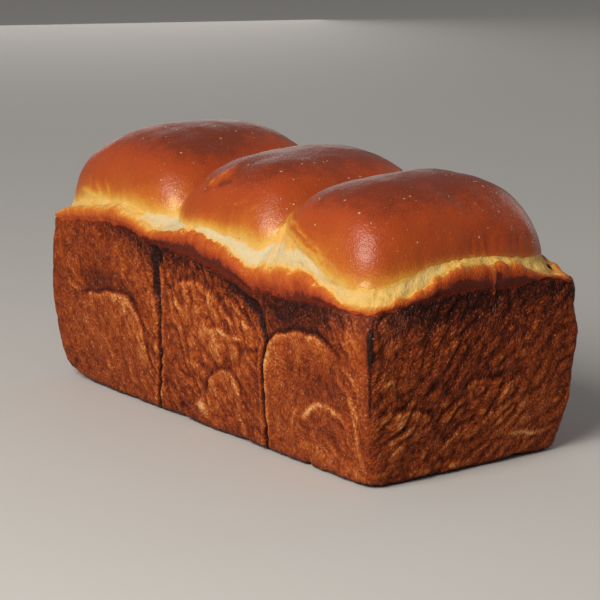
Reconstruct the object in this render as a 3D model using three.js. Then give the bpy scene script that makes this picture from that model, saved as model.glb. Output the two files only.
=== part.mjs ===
// A tin loaf: one piece of white milk bread, baked from three rolls of dough set side by side across an open
// tin. Up to the rim it has the tin's tapered box shape, with a crease where each two rolls met. Above the
// rim it swells into a soft lip, and three glazed humps rise out of the lip.
//
// Units are millimetres. X runs along the loaf, Y across it and Z up. The origin is the centre of the base.

import * as THREE from "three";
import { mergeVertices } from "three/addons/utils/BufferGeometryUtils.js";

// Driving dimensions.
const LENGTH = 243; // along X, at the tin's rim
const WIDTH = 110; // along Y, at the tin's rim
const RIM_HEIGHT = 78; // where the tin's wall ended and the dough rose free
const LIP_HEIGHT = 87.5; // top of the lip that swelled over the rim
const BASE_INSET = 3.6; // how far the base stands in from the rim's outline, because the tin tapers
const SIDE_BULGE = 2.2; // how far the sides swell past the tin's line, halfway up
const CORNER_RADIUS = 4; // upright corners
const BASE_RADIUS = 3.4; // edge between the sides and the base
const LIP_RADIUS = 13; // shoulder of the lip
const HUMP_BASE_HEIGHT = 82; // the level that the humps are measured from
const HUMP_FILLET = 5; // blend between the humps and the lip
const VALLEY_FILLET = 5; // blend between one hump and the next
const CREASE_WIDTH = 2.6; // half width of the crease between two rolls, on the sides
const CREASE_DEPTH = 2.4;
const UNEVENNESS = 0.5; // how far hand-shaped dough strays from the plain form
const UNEVEN_FROM = 12; // height where it is fully so; it fades out below, because the base is flat

// How boxy a hump is: 2 is round, and more is squarer.
const ROUNDNESS_AT_JOINTS = 2.2; // along X, where one roll lies against the next
const ROUNDNESS_AT_ENDS = 3.2; // along X, at the ends of the tin
const ROUNDNESS_ACROSS = 3.4;
const ROUNDNESS_UP = 2.1;

// Each hump: its centre along X, how far it reaches towards -X and +X, its half width and its top.
const HUMPS = [
  { centre: -77.5, reachBack: 42, reachAhead: 50, halfWidth: 49.5, top: 122 },
  { centre: 4.5, reachBack: 41.5, reachAhead: 45, halfWidth: 49, top: 121 },
  { centre: 81.5, reachBack: 47.5, reachAhead: 35, halfWidth: 47, top: 121 },
];

// Where two rolls meet, along X, on the sides and on top.
const JOINTS = [-36, 43];

// The mesh is a subdivided box that is pushed out onto the loaf's surface.
const COLUMNS_PER_ROLL = 16;
const ROWS_ACROSS = 20;
const ROWS_UP = 18;
const COLUMN_CROWDING = 0.5; // 0 spaces the columns evenly, towards 1 crowds them at the creases
const RAY_SOURCE_HEIGHT = 42; // height of the line inside the loaf that the surface is seen from
const SHOULDER_TARGET = 98; // height that the box's top edges aim at, which puts them between lip and humps
const CROWN_TARGET = 26; // how far the box's top rises above that in the middle

const halfLength = LENGTH / 2;
const halfWidth = WIDTH / 2;

// How far the side stands outside the rim's outline, at height z.
function sideOffset(z) {
  const height = THREE.MathUtils.clamp(z / RIM_HEIGHT, 0, 1);
  return SIDE_BULGE * Math.sin(Math.PI * height) - BASE_INSET * (1 - height) ** 2;
}

// How deep the creases cut into the two long sides at this place along X.
function creaseDepth(x) {
  let depth = 0;
  for (const joint of JOINTS) {
    depth += CREASE_DEPTH * Math.exp(-(((x - joint) / CREASE_WIDTH) ** 2));
  }
  return depth;
}

// Slow waves that keep the surface from being perfectly smooth.
function unevenness(p) {
  const amount = UNEVENNESS * THREE.MathUtils.clamp(p.z / UNEVEN_FROM, 0, 1);
  const along = Math.sin(p.x / 17 + p.z / 23);
  const across = Math.sin(p.y / 13 - p.x / 41 + 1.3);
  const up = Math.cos(p.z / 15 + p.x / 29 + 0.6);
  return (amount * (along + across + up)) / 3;
}

// Distance to a corner region a < 0, b < 0 whose corner is rounded to a radius; negative inside.
function roundedCorner(a, b, radius) {
  const u = a + radius;
  const v = b + radius;
  return Math.hypot(Math.max(u, 0), Math.max(v, 0)) + Math.min(Math.max(u, v), 0) - radius;
}

// Distance to the tin-shaped block with its lip, without the humps.
function blockDistance(p) {
  const offset = sideOffset(p.z);
  const fromEnds = Math.abs(p.x) - halfLength - offset;
  const fromSides = Math.abs(p.y) - halfWidth - offset + creaseDepth(p.x);
  const outline = roundedCorner(fromEnds, fromSides, CORNER_RADIUS);
  const lip = roundedCorner(outline, p.z - LIP_HEIGHT, LIP_RADIUS);
  const base = roundedCorner(outline, -p.z, BASE_RADIUS);
  return Math.max(lip, base);
}

// Distance to one hump, a superellipsoid, measured along the line from its centre.
function humpDistance(p, hump) {
  const along = p.x - hump.centre;
  const up = p.z - HUMP_BASE_HEIGHT;
  const reach = along < 0 ? hump.reachBack : hump.reachAhead;
  const isTowardsEnd = along * hump.centre > 0 && Math.abs(hump.centre) > JOINTS[1];
  const roundness = isTowardsEnd ? ROUNDNESS_AT_ENDS : ROUNDNESS_AT_JOINTS;
  const x = Math.abs(along / reach) ** roundness;
  const y = Math.abs(p.y / hump.halfWidth) ** ROUNDNESS_ACROSS;
  const z = Math.abs(up / (hump.top - HUMP_BASE_HEIGHT)) ** ROUNDNESS_UP;
  const scale = Math.max((Math.hypot(x, y) + z) ** (1 / ROUNDNESS_UP), 1e-3);
  return (1 - 1 / scale) * Math.hypot(along, p.y, up);
}

// Joins two distances with a soft blend in the hollow between them.
function softUnion(a, b, blend) {
  const t = THREE.MathUtils.clamp(0.5 + (0.5 * (b - a)) / blend, 0, 1);
  return b + (a - b) * t - blend * t * (1 - t);
}

// Distance to the whole loaf; negative inside. The base stays a true plane.
function loafDistance(p) {
  let humps = humpDistance(p, HUMPS[0]);
  for (const hump of HUMPS.slice(1)) {
    humps = softUnion(humps, humpDistance(p, hump), VALLEY_FILLET);
  }
  const body = softUnion(blockDistance(p), humps, HUMP_FILLET) + unevenness(p);
  return Math.max(body, -p.z);
}

// The outermost point of the loaf on the ray from source towards target.
function surfacePoint(source, target) {
  const direction = target.clone().sub(source).normalize();
  const point = new THREE.Vector3();
  const isInside = (t) => loafDistance(point.copy(source).addScaledVector(direction, t)) < 0;
  const stride = 2;
  let outside = halfLength + WIDTH;
  while (!isInside(outside - stride)) outside -= stride;
  let inside = outside - stride;
  for (let halving = 0; halving < 30; halving += 1) {
    const middle = (inside + outside) / 2;
    if (isInside(middle)) inside = middle;
    else outside = middle;
  }
  return point.copy(source).addScaledVector(direction, (inside + outside) / 2).clone();
}

// Places along X for the box's columns: the same number on each roll, crowded towards its creases and ends.
function columnPlaces() {
  const bounds = [-halfLength, ...JOINTS, halfLength];
  const places = [-halfLength];
  for (let roll = 1; roll < bounds.length; roll += 1) {
    const span = bounds[roll] - bounds[roll - 1];
    for (let column = 1; column <= COLUMNS_PER_ROLL; column += 1) {
      const t = column / COLUMNS_PER_ROLL;
      const crowded = t - (COLUMN_CROWDING * Math.sin(2 * Math.PI * t)) / (2 * Math.PI);
      places.push(bounds[roll - 1] + span * crowded);
    }
  }
  return places;
}

// The loaf's skin: every point of a subdivided box is moved onto the surface, along the ray that leaves the
// nearest point of a line inside the loaf.
function makeLoafGeometry() {
  const columns = columnPlaces();
  const box = new THREE.BoxGeometry(columns.length - 1, 1, 1, columns.length - 1, ROWS_ACROSS, ROWS_UP);
  box.deleteAttribute("normal");
  box.deleteAttribute("uv");
  const geometry = mergeVertices(box);
  const position = geometry.getAttribute("position");
  const sourceReach = halfLength - halfWidth;

  for (let i = 0; i < position.count; i += 1) {
    const column = Math.round(position.getX(i) + (columns.length - 1) / 2);
    const across = 2 * position.getY(i);
    const up = position.getZ(i) + 0.5;
    const x = columns[column];
    const crown = up > 0.999 ? CROWN_TARGET * (1 - across ** 2) * (1 - (x / halfLength) ** 4) : 0;
    const target = new THREE.Vector3(x, across * halfWidth, up * SHOULDER_TARGET + crown);
    const source = new THREE.Vector3(
      THREE.MathUtils.clamp(x, -sourceReach, sourceReach),
      0,
      RAY_SOURCE_HEIGHT,
    );
    const point = surfacePoint(source, target);
    if (Math.abs(point.z) < 1e-3) point.z = 0;
    position.setXYZ(i, point.x, point.y, point.z);
  }
  centreInPlan(geometry);
  geometry.computeVertexNormals();
  return geometry;
}

// Moves the geometry so that the middle of its box stands over the origin.
function centreInPlan(geometry) {
  geometry.computeBoundingBox();
  const middle = geometry.boundingBox.getCenter(new THREE.Vector3());
  geometry.translate(-middle.x, -middle.y, 0);
}

const crust = new THREE.MeshStandardMaterial({ color: 0xa8551f, roughness: 0.45, metalness: 0 });

const loaf = new THREE.Mesh(makeLoafGeometry(), crust);
loaf.name = "loaf";

const tinLoaf = new THREE.Group();
tinLoaf.add(loaf);

export default tinLoaf;
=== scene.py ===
import itertools
import math
from types import SimpleNamespace

import bpy
import numpy as np
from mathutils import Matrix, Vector


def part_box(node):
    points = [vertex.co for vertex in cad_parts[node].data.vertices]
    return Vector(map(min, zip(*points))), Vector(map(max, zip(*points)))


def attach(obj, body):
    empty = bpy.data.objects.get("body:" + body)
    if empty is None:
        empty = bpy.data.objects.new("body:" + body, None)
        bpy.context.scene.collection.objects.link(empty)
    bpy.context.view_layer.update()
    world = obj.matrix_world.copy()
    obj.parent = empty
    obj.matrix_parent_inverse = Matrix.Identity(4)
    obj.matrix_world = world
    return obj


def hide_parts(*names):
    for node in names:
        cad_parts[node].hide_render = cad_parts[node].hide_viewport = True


# A tin loaf of white milk bread: one closed mesh with its baked crust, the torn pale band above the tin's
# rim and three glazed humps.
#
# Places are worked out in millimetres in the frame's axes, X along the loaf, Y across it and Z up, and
# become metres when the mesh is made. The four sides are called front (-Y), end (+X), back (+Y) and
# far (-X).

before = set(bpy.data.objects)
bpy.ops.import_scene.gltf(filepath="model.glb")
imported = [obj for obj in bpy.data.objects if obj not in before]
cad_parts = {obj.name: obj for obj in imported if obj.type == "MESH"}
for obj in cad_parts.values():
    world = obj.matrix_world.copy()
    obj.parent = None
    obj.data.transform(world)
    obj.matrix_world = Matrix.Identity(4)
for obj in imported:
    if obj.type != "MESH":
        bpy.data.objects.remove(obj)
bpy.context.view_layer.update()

# ---- sizes

MM = 0.001
low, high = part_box("loaf")
LENGTH, WIDTH, HEIGHT = (high - low) / MM

SIDE_STANDOUT = 1.55  # how far the swollen sides stand past the rim's outline at most
HALF_LENGTH = LENGTH / 2 - SIDE_STANDOUT
HALF_WIDTH = WIDTH / 2 - SIDE_STANDOUT
RIM_HEIGHT = 0.64 * HEIGHT
BASE_INSET = 3.6  # how far the base stands in from the rim's outline, because the tin tapers
SIDE_BULGE = 2.2  # how far the sides swell past the tin's line, halfway up
CORNER_RADIUS = 4.0
CORNER_SOFTENING = 1.0  # how fast the plan's corners get rounder further in
BASE_RADIUS = 3.4
LEAST_BASE_RADIUS = 1.5
LIP_INSET = 3.2  # how far in from the outline the lip's browned face ends
LIP_BULGE = 0.9  # how far the lip swells out past the rim
GROOVE_DEPTH = 0.65  # of the groove under the lip
GROOVE_PLACE, GROOVE_REACH = 0.1, 0.11  # its middle and half height, as shares of the lip's height
CORNER_REACH = 9.0  # how far from the loaf's corners their own shape is felt
CORNER_SETBACK, CORNER_LIP_INSET = 1.6, 1.2  # how much further in the lip lies and ends by those at +X

# Each hump: centre along X, reach towards -X and +X, half width, top, and how boxy it is towards -X and +X.
HUMP_BASE_HEIGHT = 82.0
ROUND_INNER, ROUND_OUTER, ROUND_ACROSS, ROUND_UP = 2.2, 1.86, 3.2, 2.29
SQUARE_LOW, SQUARE_HIGH = 2.0, 1.25  # how square the humps' outline in plan is, low down and at the top
HUMPS = [
    (-78.6, 48.2, 50.0, 50.3, HEIGHT + 0.4, 2.0, ROUND_INNER),
    (5.5, 43.0, 42.0, 50.3, HEIGHT - 0.8, ROUND_INNER, ROUND_INNER),
    (80.5, 45.0, 35.4, 52.0, HEIGHT - 1.4, ROUND_INNER, ROUND_OUTER),
]
VALLEY_FILLET = 4.0
JOINTS = [-34.0, 46.0]  # where the columns of the mesh are closer together, round the creases

# The mesh: a grid on top, whose border is the skin's edge, and rows of the same stations down to the base.
COLUMNS = 236
COLUMNS_ACROSS = 104
BASE_RINGS = [47.0, 34.0, 20.0, 10.0]  # insets of the rows under the loaf
ARC_ROWS = 4
SIDE_ROWS = 64
LIP_ROWS = 12
SHRED_ROWS = 14
COLUMN_EVENNESS = 0.6  # towards 1 the columns over the humps lie at even distances, towards 0 as at the rim
RAY_SOURCE_HEIGHT = 60.0  # height of the line inside the loaf that the top grid is cast from
RAY_LENGTH, RAY_STEP = 100.0, 2.0

LONG_SIDES = ("front", "back")

# ---- noise


def noise(points, size, seed):
    """Gradient noise, about -1 to 1, whose features have that size, a number or one for each axis."""
    rng = np.random.default_rng(seed)
    order = rng.permutation(256)
    gradients = rng.normal(size=(256, 3))
    gradients /= np.linalg.norm(gradients, axis=1, keepdims=True)
    scaled = points / size
    cell = np.floor(scaled).astype(int)
    part = scaled - cell
    ease = part**3 * (part * (part * 6 - 15) + 10)
    total = 0
    for corner in itertools.product((0, 1), repeat=3):
        at = (cell + corner) & 255
        index = order[(order[(order[at[..., 0]] + at[..., 1]) & 255] + at[..., 2]) & 255]
        slope = ((part - corner) * gradients[index]).sum(-1)
        weight = np.where(corner, ease, 1 - ease).prod(-1)
        total = total + slope * weight
    return 1.6 * total


def layered_noise(points, size, octaves, seed):
    """Noise with finer and weaker copies of itself on top."""
    total, weight = 0, 1.0
    for octave in range(octaves):
        total = total + weight * noise(points, np.asarray(size) / 2**octave, seed + octave)
        weight *= 0.5
    return total


def waves(points, table):
    """Layered noises added up, from rows of amount, size, octaves and seed."""
    return sum(amount * layered_noise(points, size, octaves, seed) for amount, size, octaves, seed in table)


def billowed(points, size, seed):
    """Rounded lumps, 0 to 1, with narrow clefts between them."""
    return np.minimum(2 * np.abs(noise(points, size, seed)), 1) ** 0.7


def smoothstep(start, stop, value):
    t = np.clip((value - start) / (stop - start), 0, 1)
    return t * t * (3 - 2 * t)


def bell(value, width):
    return np.exp(-((value / width) ** 2))


# ---- stations round the loaf


def crowded_places(half, count, crowds, strength, reach):
    """count + 1 places from -half to half, closer together round each of the crowds."""
    fine = np.linspace(-half, half, 4001)
    density = 1 + sum(strength * bell(fine - crowd, reach) for crowd in crowds)
    total = np.concatenate([[0], np.cumsum((density[1:] + density[:-1]) / 2)])
    return np.interp(np.linspace(0, total[-1], count + 1), total, fine)


def ring_indices():
    """Column and cross column of each station, round the grid's border: front, end, back, far."""
    i = np.arange(COLUMNS)
    j = np.arange(COLUMNS_ACROSS)
    columns = [i, np.full_like(j, COLUMNS), COLUMNS - i, np.zeros_like(j)]
    across = [np.zeros_like(i), j, np.full_like(i, COLUMNS_ACROSS), COLUMNS_ACROSS - j]
    return np.concatenate(columns), np.concatenate(across)


COLUMN_X = crowded_places(HALF_LENGTH, COLUMNS, [-HALF_LENGTH, *JOINTS, HALF_LENGTH], 0.9, 6)
CROSS_Y = crowded_places(HALF_WIDTH, COLUMNS_ACROSS, [-HALF_WIDTH, HALF_WIDTH], 0.5, 6)
RING_I, RING_J = ring_indices()
STATION_X = COLUMN_X[RING_I]
STATION_Y = CROSS_Y[RING_J]
PERIMETER = 4 * (HALF_LENGTH + HALF_WIDTH)


def ring_place(side, place):
    """Distance round the rim, from the far front corner, of a place along X or Y on one of the sides."""
    starts = {
        "front": HALF_LENGTH + place,
        "end": 2 * HALF_LENGTH + HALF_WIDTH + place,
        "back": 3 * HALF_LENGTH + 2 * HALF_WIDTH - place,
        "far": 4 * HALF_LENGTH + 3 * HALF_WIDTH - place,
    }
    return starts[side]


def station_places():
    side = np.repeat([0, 1, 2, 3], [COLUMNS, COLUMNS_ACROSS] * 2)
    names = ["front", "end", "back", "far"]
    places = np.where(side % 2 == 0, STATION_X, STATION_Y)
    all_sides = np.array([ring_place(name, places) for name in names])
    return all_sides[side, np.arange(len(side))]


STATION_S = station_places()


def ring_curve(sides, softness=3.0):
    """A value at each station, from points given for each side as (place along it, value)."""
    points = sorted((ring_place(name, place), value) for name in sides for place, value in sides[name])
    s, values = np.array(points).T
    s = np.concatenate([s - PERIMETER, s, s + PERIMETER])
    values = np.tile(values, 3)
    offsets = np.linspace(-1.5, 1.5, 13)
    weights = bell(offsets, 1.0)
    total = sum(w * np.interp(STATION_S + o * softness, s, values) for o, w in zip(offsets, weights))
    return total / weights.sum()


def ring_noise(size, seed, octaves=2):
    """Noise that runs round the loaf without a seam."""
    angle = 2 * np.pi * STATION_S / PERIMETER
    radius = PERIMETER / (2 * np.pi)
    points = np.stack([radius * np.cos(angle), radius * np.sin(angle), np.zeros_like(angle)], -1)
    return layered_noise(points, size, octaves, seed)


# Heights where the zones meet: the rim, where the dark crust ends; the cream line, where the browned lip
# gives way to torn crumb; and the skin line, where the humps' glazed skin begins.
RIM_LINE = {
    "front": [(-118, 75), (-98, 78.5), (-80, 81), (-59, 81.5), (-43, 79.5), (-19, 77.5), (1, 76), (17, 74),
              (26, 72.5), (34, 69.5), (41, 69), (48, 71), (54, 71.2), (66, 71.5), (80, 73), (97, 74),
              (118, 74.5)],
    "end": [(-53, 75), (-42, 75.5), (-25, 77), (-11, 78), (3, 78), (19, 76), (30, 77.5), (39, 77.5),
            (52, 75)],
    "back": [(116, 76), (92, 80), (70, 78), (43, 72), (20, 77), (0, 81), (-20, 79), (-36, 74), (-60, 78),
             (-90, 81), (-116, 77)],
    "far": [(50, 76), (30, 79), (8, 77), (-15, 80), (-35, 79), (-52, 77)],
}
CREAM_LINE = {
    "front": [(-119, 79.5), (-107, 84.5), (-90, 87), (-75, 90), (-64, 90), (-48, 86), (-40, 82.5), (-24, 85),
              (-8, 89), (3, 86), (18, 85), (26, 81), (33, 78), (47, 82), (58, 84), (76, 84), (91, 80),
              (97, 77), (118, 76.5)],
    "end": [(-52, 77), (-42, 78.5), (-34, 80), (-29, 82), (-18, 86), (-5, 89), (16, 87), (25, 86), (33, 82),
            (44, 79), (53, 77)],
    "back": [(117, 78), (95, 85), (72, 88), (52, 84), (43, 79), (32, 83), (10, 89), (-8, 88), (-26, 84),
             (-36, 80), (-48, 84), (-72, 89), (-95, 87), (-117, 79)],
    "far": [(50, 79), (32, 85), (8, 88), (-14, 86), (-34, 86), (-52, 79.5)],
}
SKIN_LINE = {
    "front": [(-119, 85), (-103, 89), (-89, 90.5), (-68, 91), (-57, 89.5), (-43, 90), (-33, 89), (-19, 89),
              (-5, 90.5), (8, 90), (27, 90), (33, 88), (41, 89), (45, 93), (51, 103), (56, 100.5), (63, 96),
              (72, 92.5), (80, 91), (86, 87.5), (93, 84), (103, 82), (114, 83)],
    "end": [(-50, 83), (-40, 85), (-28, 88), (-20, 90.5), (0, 91), (15, 90), (29, 88), (45, 86)],
    "back": [(115, 84), (96, 89), (70, 91), (50, 92), (43, 88), (34, 91), (8, 92), (-12, 90), (-30, 91),
             (-36, 88), (-44, 92), (-70, 91), (-96, 90), (-116, 85)],
    "far": [(48, 86), (28, 90), (6, 91), (-16, 90), (-36, 90), (-50, 86)],
}
LEAST_BAND = 1.6  # no zone between two of the lines is lower than this

# Where the edge round the base is eaten away: side, place along it, half size, depth.
BASE_NOTCHES = [
    ("front", -HALF_LENGTH, 14, 5), ("front", 77, 2.2, 3.5), ("front", 30, 3, 2.2), ("front", -20, 4, 1.6),
    ("end", 30, 5, 1.8), ("back", -60, 3, 2.8), ("back", 25, 4, 2),
]

rim_line = ring_curve(RIM_LINE) + 0.7 * ring_noise(7, 11)
cream_line = ring_curve(CREAM_LINE, 2.0) + 1.5 * ring_noise(7, 12, 3)
skin_line = ring_curve(SKIN_LINE, 1.6) + 0.9 * ring_noise(6, 13, 3)
cream_line = np.maximum(cream_line, rim_line + LEAST_BAND)
skin_line = np.maximum(skin_line, cream_line + LEAST_BAND)

# ---- plain form


def outline(x, y, inset):
    """Point in plan on the outline's rounded rectangle, inset from the rim's, for stations at x, y."""
    half_x, half_y = HALF_LENGTH - inset, HALF_WIDTH - inset
    radius = np.clip(CORNER_RADIUS + CORNER_SOFTENING * np.maximum(inset, 0), 0, 0.8 * half_y)
    sharp_x, sharp_y = x * half_x / HALF_LENGTH, y * half_y / HALF_WIDTH
    from_x = np.abs(sharp_x) - (half_x - radius)
    from_y = np.abs(sharp_y) - (half_y - radius)
    in_corner = (from_x > 0) & (from_y > 0)
    shrink = np.where(in_corner, radius / np.maximum(np.hypot(from_x, from_y), 1e-6), 1)
    round_x = np.sign(sharp_x) * (half_x - radius + from_x * shrink)
    round_y = np.sign(sharp_y) * (half_y - radius + from_y * shrink)
    return np.where(in_corner, round_x, sharp_x), np.where(in_corner, round_y, sharp_y)


def side_offset(z):
    """How far the side stands outside the rim's outline."""
    height = np.clip(z / RIM_HEIGHT, 0, 1)
    return SIDE_BULGE * np.sin(np.pi * height) - BASE_INSET * (1 - height) ** 2


def soft_union(a, b, blend):
    t = np.clip(0.5 + 0.5 * (b - a) / blend, 0, 1)
    return b + (a - b) * t - blend * t * (1 - t)


def hump_distance(p, hump):
    """Distance to one hump, a superellipsoid, measured along the line from its centre."""
    centre, reach_back, reach_ahead, half_width, top, round_back, round_ahead = hump
    along, across, up = p[..., 0] - centre, p[..., 1], p[..., 2] - HUMP_BASE_HEIGHT
    is_back = along < 0
    roundness = np.where(is_back, round_back, round_ahead)
    x = np.abs(along / np.where(is_back, reach_back, reach_ahead)) ** roundness
    y = np.abs(across / half_width) ** ROUND_ACROSS
    height = up / (top - HUMP_BASE_HEIGHT)
    square = SQUARE_LOW + (SQUARE_HIGH - SQUARE_LOW) * np.clip(height, 0, 1)
    plan = (x**square + y**square) ** (1 / square)
    scale = np.maximum((plan + np.abs(height) ** ROUND_UP) ** (1 / ROUND_UP), 1e-3)
    return (1 - 1 / scale) * np.sqrt(along**2 + across**2 + up**2)


def humps_distance(p):
    distance = hump_distance(p, HUMPS[0])
    for hump in HUMPS[1:]:
        distance = soft_union(distance, hump_distance(p, hump), VALLEY_FILLET)
    return distance


def crossing(is_inside, outside, inside, halvings=24):
    """Bisects between a parameter outside the form and one inside it, for arrays of both."""
    for _ in range(halvings):
        middle = (outside + inside) / 2
        hit = is_inside(middle)
        inside = np.where(hit, middle, inside)
        outside = np.where(hit, outside, middle)
    return (outside + inside) / 2


def skin_edge_inset():
    """How far in the humps' surface is at the height of the skin line, at each station."""
    def is_inside(inset):
        x, y = outline(STATION_X, STATION_Y, inset)
        return humps_distance(np.stack([x, y, skin_line], -1)) < 0

    start = np.full(len(STATION_X), 2.0)
    step = 0.5
    for _ in range(60):
        start = np.where(is_inside(start), start, start + step)
    return crossing(is_inside, start - step, start)


def bezier(a, b, c, d, t):
    return (1 - t) ** 3 * a + 3 * (1 - t) ** 2 * t * b + 3 * (1 - t) * t**2 * c + t**3 * d


def profile_rows():
    """Inset, height and zone of each row at each station, from the inner base up to the skin's edge.

    The zone is 0 on the base, 1 at the rim, 2 on the cream line and 3 at the skin's edge.
    """
    count = len(STATION_X)
    flat = np.zeros(count)
    rows = [(flat + ring, flat, flat) for ring in BASE_RINGS]

    radius = BASE_RADIUS + 1.3 * ring_noise(16, 21) + 0.7 * ring_noise(5, 22)
    for side, place, size, depth in BASE_NOTCHES:
        radius = radius + depth * bell(ring_distance(side, place), size)
    radius = np.maximum(radius, LEAST_BASE_RADIUS)
    for row in range(ARC_ROWS + 1):
        angle = 0.5 * math.pi * row / ARC_ROWS
        z = radius * (1 - math.cos(angle))
        rows.append((radius * (1 - math.sin(angle)) - side_offset(z), z, z / rim_line))

    for row in range(1, SIDE_ROWS + 1):
        z = radius + (rim_line - radius) * row / SIDE_ROWS
        rows.append((-side_offset(z), z, z / rim_line))

    lip = cream_line - rim_line
    groove = np.minimum(GROOVE_DEPTH, 0.08 * lip)
    corner = sum(bell(ring_distance(side, HALF_LENGTH), CORNER_REACH) for side in LONG_SIDES)
    bulge = -LIP_BULGE + CORNER_SETBACK * corner
    lip_inset = LIP_INSET + CORNER_LIP_INSET * corner
    for row in range(1, LIP_ROWS + 1):
        t = row / LIP_ROWS
        inset = bezier(0.2, bulge, bulge, lip_inset, t) + groove * bell(t - GROOVE_PLACE, GROOVE_REACH)
        z = bezier(rim_line, rim_line + 0.4 * lip, cream_line - 0.05 * lip, cream_line, t)
        rows.append((inset, z, 1 + t + flat))

    edge_inset = skin_edge_inset()
    depth = edge_inset - lip_inset
    rise = skin_line - cream_line
    for row in range(1, SHRED_ROWS + 1):
        t = row / SHRED_ROWS
        inset = bezier(lip_inset, lip_inset + 0.2 * depth, edge_inset - 0.2 * depth, edge_inset, t)
        z = bezier(cream_line, cream_line + 0.3 * rise, skin_line - 0.4 * rise, skin_line, t)
        rows.append((inset, z, 2 + t + flat))
    return [np.array(part) for part in zip(*rows)]


def ring_distance(side, place):
    """Distance of each station round the rim from a place on one of the sides."""
    away = np.abs(STATION_S - ring_place(side, place))
    return np.minimum(away, PERIMETER - away)


# ---- top grid


def arc_places(heights, places, count):
    """count + 1 places at even distances along the curve heights(places)."""
    length = np.concatenate([[0], np.cumsum(np.hypot(np.diff(heights), np.diff(places)))])
    return np.interp(np.linspace(0, length[-1], count + 1), length, places)


def ridge_profile(x):
    """Height of the humps over the loaf's middle line."""
    def is_inside(z):
        return humps_distance(np.stack([x, np.zeros_like(x), z], -1)) < 0

    return crossing(is_inside, np.full_like(x, HEIGHT + 10), np.full_like(x, HUMP_BASE_HEIGHT))


def top_grid(border):
    """Points of the top grid, cast onto the humps. Its border is given, as an array by station."""
    grid = np.zeros((COLUMNS + 1, COLUMNS_ACROSS + 1, 3))
    grid[RING_I, RING_J] = border

    reach_back = HUMPS[0][0] - HUMPS[0][1]
    reach_ahead = HUMPS[-1][0] + HUMPS[-1][2]
    x = np.linspace(reach_back, reach_ahead, 2001)
    crown = ridge_profile(x)
    even = arc_places(crown, x, COLUMNS)
    as_at_rim = COLUMN_X * (reach_ahead - reach_back) / (2 * HALF_LENGTH)
    middle_x = COLUMN_EVENNESS * even + (1 - COLUMN_EVENNESS) * as_at_rim
    middle_z = np.interp(middle_x, x, crown)

    angle = np.linspace(-0.5 * np.pi, 0.5 * np.pi, 2001)
    wide = np.sign(angle) * np.abs(np.sin(angle)) ** (1 / ROUND_ACROSS)
    tall = np.cos(angle) ** (2 / ROUND_UP)
    aspect = (HEIGHT - HUMP_BASE_HEIGHT) / HALF_WIDTH
    across = arc_places(aspect * tall, wide, COLUMNS_ACROSS)
    lift = np.interp(across, wide, tall)

    u = ((middle_x - middle_x[0]) / (middle_x[-1] - middle_x[0]))[:, None, None]
    v = ((across + 1) / 2)[None, :, None]
    front, back = grid[:, :1], grid[:, -1:]
    far, end = grid[:1], grid[-1:]
    corners = (1 - u) * (1 - v) * grid[0, 0] + u * (1 - v) * grid[-1, 0]
    corners = corners + (1 - u) * v * grid[0, -1] + u * v * grid[-1, -1]
    target = (1 - v) * front + v * back + (1 - u) * far + u * end - corners
    inward = np.sqrt(np.clip(1 - (2 * v[..., 0] - 1) ** 2, 0, 1))
    target[..., 0] += inward * (middle_x - COLUMN_X * middle_x[-1] / HALF_LENGTH)[:, None]
    edge_height = target[..., 2]
    target[..., 2] = edge_height + lift[None, :] * np.maximum(middle_z[:, None] - edge_height, 0)

    core = HALF_LENGTH - HALF_WIDTH
    flat = np.zeros(target.shape[:2])
    source = np.stack([np.clip(target[..., 0], -core, core), flat, flat + RAY_SOURCE_HEIGHT], -1)
    direction = target - source
    direction /= np.linalg.norm(direction, axis=-1, keepdims=True)

    def is_inside(t):
        return humps_distance(source + direction * t[..., None]) < 0

    reach = flat + RAY_LENGTH
    for _ in range(int(RAY_LENGTH / RAY_STEP) - 1):
        reach = np.where(is_inside(reach), reach, reach - RAY_STEP)
    reach = crossing(is_inside, reach + RAY_STEP, reach)
    inner = source + direction * reach[..., None]
    grid[1:-1, 1:-1] = inner[1:-1, 1:-1]
    return grid


# ---- topology


def make_topology(rows):
    """Index of every ring and grid vertex, and the quads. The last row is also the grid's border."""
    stations = len(STATION_X)
    ring = np.arange(rows * stations).reshape(rows, stations)
    grid = np.zeros((COLUMNS + 1, COLUMNS_ACROSS + 1), int)
    inner_count = (COLUMNS - 1) * (COLUMNS_ACROSS - 1)
    grid[1:-1, 1:-1] = rows * stations + np.arange(inner_count).reshape(COLUMNS - 1, -1)
    grid[RING_I, RING_J] = ring[-1]
    ahead = np.roll(ring, -1, axis=1)
    side_quads = np.stack([ring[:-1], ahead[:-1], ahead[1:], ring[1:]], -1).reshape(-1, 4)
    top_quads = np.stack([grid[:-1, :-1], grid[1:, :-1], grid[1:, 1:], grid[:-1, 1:]], -1).reshape(-1, 4)
    return ring, grid, np.concatenate([side_quads, top_quads])


def vertex_normals(points, quads):
    a, b, c, d = (points[quads[:, k]] for k in range(4))
    face = np.cross(c - a, d - b)
    normals = np.zeros_like(points)
    for k in range(4):
        np.add.at(normals, quads[:, k], face)
    return normals / np.maximum(np.linalg.norm(normals, axis=1, keepdims=True), 1e-9)


def smoothed(values, quads, rounds):
    """Values averaged over neighbouring vertices."""
    for _ in range(rounds):
        total = values.copy()
        weight = np.ones(len(values))
        for k in range(4):
            np.add.at(total, quads[:, k], values[quads[:, (k + 1) % 4]])
            np.add.at(weight, quads[:, k], 1)
        values = total / (weight[:, None] if values.ndim > 1 else weight)
    return values


# ---- relief, by side


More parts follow.
